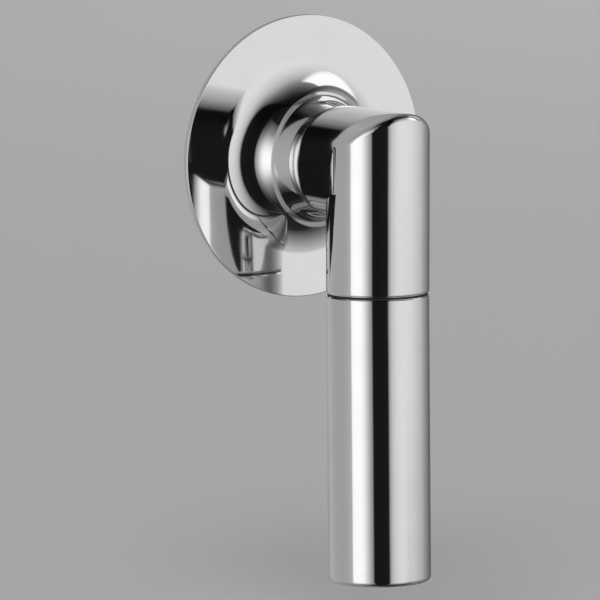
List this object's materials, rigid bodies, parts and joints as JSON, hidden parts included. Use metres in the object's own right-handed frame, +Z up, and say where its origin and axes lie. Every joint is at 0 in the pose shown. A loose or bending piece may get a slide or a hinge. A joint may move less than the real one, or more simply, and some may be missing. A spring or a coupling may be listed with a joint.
{
  "type": "cistern lever",
  "caption": "Toilet cistern flush lever with round dished escutcheon, cranked elbow and straight round grip, threaded shank with back nut, and lift arm on the spindle.",
  "frame": {"origin": "on the spindle's axis, in the plane of the cistern wall's outside face", "axes": "+Y along the spindle into the cistern, -Y out towards the user, +Z up with the grip hanging down"},
  "size_m": [0.0728, 0.0679, 0.1103],
  "materials": {
    "chrome": "polished chrome plate",
    "brass": "machined brass",
    "zinc_steel": "bright zinc plate",
    "spring_steel": "stainless steel",
    "black_rubber": "moulded rubber",
    "white_acetal": "moulded acetal"
  },
  "bodies": {
    "mounting": {"escutcheon": "chrome", "escutcheon_gasket": "black_rubber", "threaded_shank": "brass", "front_bush": "white_acetal", "rear_bush": "white_acetal", "front_thrust_washer": "white_acetal", "rear_thrust_washer": "white_acetal", "inner_seal_washer": "black_rubber", "clamp_washer": "zinc_steel", "back_nut": "brass"},
    "lever": {"spindle": "brass", "spindle_circlip": "spring_steel", "hub_collar": "chrome", "hub_seal_ring": "black_rubber", "stop_pin": "spring_steel", "lever_elbow": "chrome", "spindle_grub_screw": "spring_steel", "joint_ring": "black_rubber", "grip_stud": "brass", "grip_insert": "brass", "lever_grip": "chrome", "lift_arm": "zinc_steel", "arm_lock_washer": "zinc_steel", "arm_screw": "zinc_steel"}
  },
  "joints": [
    {"name": "lever_turn", "type": "hinge", "parent": "mounting", "child": "lever", "pos_m": [0, 0, 0], "axis": [0, -1, 0], "range_deg": [0, 40]}
  ]
}
